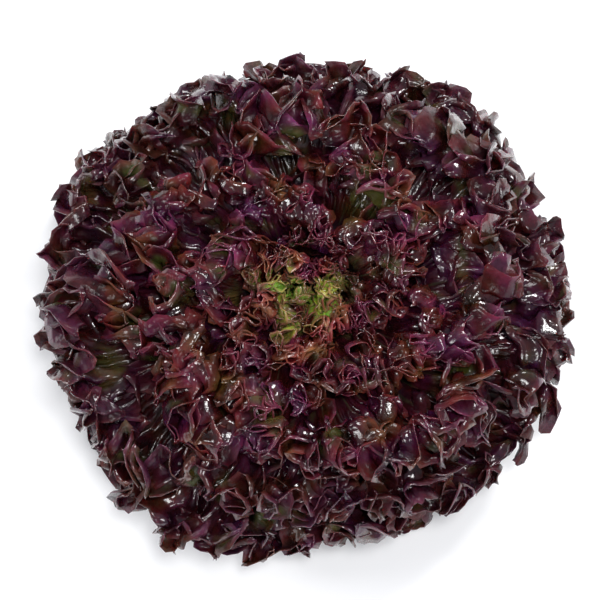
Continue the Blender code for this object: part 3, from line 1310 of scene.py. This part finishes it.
@dataclass(frozen=True)
class WrinkledSkin:
    """The shader node group of small blisters and wrinkles on a leaf's skin."""

    wrinkle_detail: float = 2.0
    wrinkle_share: float = 0.55

    def build(self) -> Tree:
        """Makes the group.

        Returns:
            The group, which puts out the height for a Bump node.
        """
        inputs = {"Coordinates": "Vector", "Blisters": "Float", "Wrinkles": "Float"}
        sheet = GroupSheet("ShaderNodeTree", "wrinkled skin", inputs, {"Height": "Float"})
        place = sheet.given["Coordinates"]
        cells = {"Vector": place, "Scale": sheet.given["Blisters"]}
        cells = sheet.put("ShaderNodeTexVoronoi", cells, feature="SMOOTH_F1")["Distance"]
        fine = sheet.noise(place, sheet.given["Wrinkles"], self.wrinkle_detail)
        sheet.feed(sheet.result["Height"], fine.scaled(self.wrinkle_share, cells))
        return sheet.tree


@dataclass(frozen=True)
class LeafFinish:
    """The finish of one side of a tier's leaves. The face is wet where it is frilled, the underside isn't."""

    name: str
    base: Colour
    blade: Colour
    patch: Colour
    margin: Colour
    # The tip colour is partly the leaves' own pink tip and partly a painted highlight along the pale curled
    # rims.
    tip_and_painted_highlight: Colour
    patch_start: float = 0.43
    margin_start: float = 0.90
    blisters: float = 300.0
    wrinkles: float = 750.0
    wrinkle_depth: float = 0.00028
    wet: bool = True
    specular: float = 0.12
    glow: float = 0.30
    glow_radius: tuple[float, float, float] = (1.0, 0.25, 0.20)
    glow_depth: float = 0.0015
    dry_coat: float = 0.10
    coat_roughness: float = 0.05

    def build(self, colours: Tree, skin: Tree) -> Material:
        """Makes the material.

        Args:
            colours: the group that colours a leaf.
            skin: the group of its wrinkles.

        Returns:
            The material.
        """
        sheet = MaterialSheet(
            self.name, Specular_IOR_Level=self.specular, Subsurface_Weight=self.glow,
            Subsurface_Radius=self.glow_radius, Subsurface_Scale=self.glow_depth,
            Coat_Weight=self.dry_coat, Coat_Roughness=self.coat_roughness,
        )
        place = sheet.place()
        values = {
            "Out": sheet.attribute("out"), "Turns": sheet.attribute("turns"), "Coordinates": place,
            "Patch start": self.patch_start, "Margin start": self.margin_start, "Base": self.base,
            "Blade": self.blade, "Patch": self.patch, "Margin": self.margin, "Tip": self.tip_and_painted_highlight,
        }
        coloured = sheet.put("ShaderNodeGroup", values, node_tree=colours)
        sheet.feed(sheet.shader["Base Color"], coloured["Color"])
        sheet.feed(sheet.shader["Roughness"], coloured["Roughness"])
        if self.wet:
            sheet.feed(sheet.shader["Coat Weight"], coloured["Wet"])
        normal = sheet.wrinkle(skin, place, self.blisters, self.wrinkles, self.wrinkle_depth)
        sheet.feed(sheet.shader["Coat Normal"], normal)
        return sheet.material


# The dark blade colours of the outer and inner leaves are painted shade for the deep parts of the head. The
# heart's green blade is its own colour.
OUTER_FACE = LeafFinish(
    "outer_face", base=(0.16, 0.20, 0.06, 1), blade=(0.034, 0.018, 0.030, 1), patch=(0.080, 0.040, 0.012, 1),
    margin=(0.044, 0.0066, 0.021, 1), tip_and_painted_highlight=(0.095, 0.020, 0.046, 1),
)
OUTER_UNDERSIDE = LeafFinish(
    "outer_underside", base=(0.32, 0.36, 0.15, 1), blade=(0.040, 0.020, 0.022, 1),
    patch=(0.066, 0.060, 0.018, 1), margin=(0.044, 0.0074, 0.020, 1), tip_and_painted_highlight=(0.090, 0.020, 0.042, 1), wet=False,
)
INNER_FACE = LeafFinish(
    "inner_face", base=(0.12, 0.18, 0.04, 1), blade=(0.032, 0.017, 0.028, 1), patch=(0.075, 0.042, 0.010, 1),
    margin=(0.046, 0.0050, 0.019, 1), tip_and_painted_highlight=(0.13, 0.018, 0.050, 1),
)
INNER_UNDERSIDE = LeafFinish(
    "inner_underside", base=(0.30, 0.36, 0.12, 1), blade=(0.026, 0.018, 0.010, 1),
    patch=(0.056, 0.060, 0.010, 1), margin=(0.044, 0.0044, 0.016, 1), tip_and_painted_highlight=(0.13, 0.018, 0.050, 1), wet=False,
)
HEART_FACE = LeafFinish(
    "heart_face", base=(0.55, 0.60, 0.18, 1), blade=(0.13, 0.15, 0.024, 1), patch=(0.72, 0.80, 0.10, 1),
    margin=(0.080, 0.0045, 0.022, 1), tip_and_painted_highlight=(0.25, 0.040, 0.070, 1), patch_start=0.46, margin_start=0.58,
)
HEART_UNDERSIDE = LeafFinish(
    "heart_underside", base=(0.60, 0.65, 0.22, 1), blade=(0.14, 0.16, 0.03, 1), patch=(0.55, 0.62, 0.08, 1),
    margin=(0.080, 0.0070, 0.024, 1), tip_and_painted_highlight=(0.25, 0.040, 0.070, 1), patch_start=0.46, margin_start=0.58,
    wet=False,
)
LEAF_FINISHES = {
    Tier.OUTER: (OUTER_FACE, OUTER_UNDERSIDE),
    Tier.INNER: (INNER_FACE, INNER_UNDERSIDE),
    Tier.HEART: (HEART_FACE, HEART_UNDERSIDE),
}


@dataclass(frozen=True)
class RibFinish:
    """The pale, faintly streaked skin of the ribs, flushed with the leaf's colour towards their ends."""

    name: str = "rib_skin"
    pale: Colour = (0.42, 0.44, 0.22, 1)
    flushed: Colour = (0.10, 0.035, 0.030, 1)
    uneven: tuple[float, float] = (260.0, 0.3)
    flush_shift: float = 0.15
    flush: tuple[float, float] = (0.10, 0.55)
    roughness: float = 0.42
    specular: float = 0.3
    wrinkles: tuple[float, float, float] = (500.0, 1200.0, 0.0004)

    def build(self, skin: Tree) -> Material:
        """Makes the material.

        Args:
            skin: the group of wrinkles.

        Returns:
            The material.
        """
        sheet = MaterialSheet(self.name, Roughness=self.roughness, Specular_IOR_Level=self.specular)
        place = sheet.place()
        out = sheet.attribute("out") - self.flush_shift
        flush = sheet.step(sheet.speckle(place, *self.uneven, out), *self.flush)
        sheet.feed(sheet.shader["Base Color"], sheet.blend(flush, self.pale, self.flushed))
        sheet.wrinkle(skin, place, *self.wrinkles)
        return sheet.material


@dataclass(frozen=True)
class StemFinish:
    """The stem's finish: pale flesh with streaks, and a cut that browns in rings from its rim.

    Each pair is where a change begins and where it is complete, as a radius or as a height above the cut.
    """

    name: str = "stem_flesh"
    flesh: Colour = (0.62, 0.60, 0.36, 1)
    pith: Colour = (0.74, 0.72, 0.52, 1)
    browned: Colour = (0.26, 0.11, 0.045, 1)
    uneven: tuple[float, float, float, float] = (420.0, 0.004, -0.002, 2.0)
    pith_ends: tuple[float, float] = (0.006, 0.009)
    ring_inside: tuple[float, float] = (0.0085, 0.0100)
    ring_outside: tuple[float, float] = (0.0120, 0.0105)
    ring_share: float = 0.55
    rim: tuple[float, float] = (0.0122, 0.0140)
    cut: tuple[float, float] = (0.0050, 0.0015)
    browning: float = 0.85
    streak_stretch: tuple[float, float, float] = (1.0, 1.0, 0.12)
    streaks: tuple[float, float, float] = (900.0, 0.6, 0.70)
    roughness: float = 0.55
    specular: float = 0.3
    wrinkles: tuple[float, float, float] = (700.0, 1500.0, 0.0003)

    def build(self, skin: Tree) -> Material:
        """Makes the material.

        Args:
            skin: the group of wrinkles.

        Returns:
            The material.
        """
        sheet = MaterialSheet(self.name, Roughness=self.roughness, Specular_IOR_Level=self.specular)
        place = sheet.place()
        across = sheet.vector("LENGTH", sheet.vector("MULTIPLY", place, (1.0, 1.0, 0.0)))
        across = across + sheet.speckle(place, *self.uneven)
        colour = sheet.blend(sheet.step(across, *self.pith_ends), self.pith, self.flesh)
        ring = sheet.step(across, *self.ring_inside) * sheet.step(across, *self.ring_outside)
        brown = sheet.calc("MAXIMUM", ring * self.ring_share, sheet.step(across, *self.rim))
        height = sheet.put("ShaderNodeSeparateXYZ", {"Vector": place})["Z"]
        brown = brown * sheet.step(height, *self.cut) * self.browning
        colour = sheet.blend(brown, colour, self.browned)
        streaks = sheet.speckle(sheet.vector("MULTIPLY", place, self.streak_stretch), *self.streaks)
        shades = {"Value": streaks, "Color": colour}
        sheet.feed(sheet.shader["Base Color"], sheet.put("ShaderNodeHueSaturation", shades)["Color"])
        sheet.wrinkle(skin, place, *self.wrinkles)
        return sheet.material


@dataclass(frozen=True)
class Studio:
    """The plain pale floor, the soft lights and the camera."""

    aim: tuple[float, float, float] = (0.0, -0.004, 0.050)
    distance: float = 1.10
    elevation: float = math.radians(77.5)
    lens: float = 125.0
    floor_half_size: float = 3.0
    floor_colour: Colour = (0.97, 0.97, 0.97, 1)
    floor_roughness: float = 0.8
    light_size: float = 0.44
    lights: tuple[tuple[str, tuple[float, float, float], float], ...] = (
        ("key_light", (1.1, 1.3, 1.3), 28.0),
        ("back_light", (-0.8, 1.4, 1.5), 10.0),
        ("left_light", (-1.7, 0.1, 1.2), 12.0),
        ("front_left_light", (-0.8, -1.5, 1.3), 9.0),
        ("front_right_light", (1.1, -1.3, 1.1), 11.0),
        ("top_light", (0.2, -0.2, 2.3), 22.0),
    )
    room_colour: Colour = (0.82, 0.86, 1.0, 1)
    room_light: float = 0.30

    def build_floor(self) -> None:
        """Makes the floor, which is a stage and not part of the head."""
        half = self.floor_half_size
        corners = np.array([(-half, -half, 0), (half, -half, 0), (half, half, 0), (-half, half, 0)])
        floor = start_piece("floor", corners, [], [(0, 1, 2, 3)], {})
        finish = MaterialSheet("pale_floor", Base_Color=self.floor_colour, Roughness=self.floor_roughness)
        floor.data.materials.append(finish.material)

    def turned_to_head(self, made: Piece, at: Vector) -> None:
        """Puts a light or a camera here and turns it to the head."""
        made.location = at
        made.rotation_euler = (Vector(self.aim) - at).to_track_quat("-Z", "Y").to_euler()

    def build_camera(self) -> None:
        """Makes the camera at the photograph's angle."""
        camera = put_in_scene("camera", bpy.data.cameras.new("camera"))
        back = Vector((0, -math.cos(self.elevation), math.sin(self.elevation)))
        self.turned_to_head(camera, Vector(self.aim) + back * self.distance)
        camera.data.lens = self.lens
        bpy.context.scene.camera = camera

    def build_lights(self) -> None:
        """Makes the square area lights, each with its place and its watts, and the room's own pale light."""
        for name, at, watts in self.lights:
            light = put_in_scene(name, bpy.data.lights.new(name, "AREA"))
            light.data.size = self.light_size
            light.data.energy = watts
            self.turned_to_head(light, Vector(at))
        world = bpy.data.worlds.new("pale_room")
        world.use_nodes = True
        background = world.node_tree.nodes["Background"].inputs
        background["Color"].default_value = self.room_colour
        background["Strength"].default_value = self.room_light
        bpy.context.scene.world = world
        bpy.context.scene.view_settings.view_transform = "Standard"

    def build(self) -> None:
        """Makes all of the studio."""
        self.build_floor()
        self.build_camera()
        self.build_lights()


def report(piece: Piece) -> None:
    """Logs a finished piece."""
    LOG.info("%s with %d faces", piece.name, len(piece.data.polygons))


def main() -> None:
    """Builds the studio, the stem and every leaf, in order."""
    logging.basicConfig(level=logging.INFO, format="%(name)s: %(message)s")
    Studio().build()
    colours, skin = LeafColours().build(), WrinkledSkin().build()
    materials = {}
    for tier, sides in LEAF_FINISHES.items():
        materials[tier] = [finish.build(colours, skin) for finish in sides]
    spiral, frills, sweep = Spiral(), FrillTree(), RibTree()
    rib_skin = RibFinish().build(skin)
    stem = Stem(spiral.head.crown, StemFinish().build(skin)).build()
    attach(stem, "root")
    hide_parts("stem")
    report(stem)
    for leaf in spiral.leaves():
        blade = Blade(leaf, frills, *materials[leaf.tier]).build()
        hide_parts(leaf.node)
        for piece in (blade, Ribs(leaf, sweep, rib_skin).build()):
            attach(piece, "root")
            report(piece)


if __name__ == "__main__":
    main()
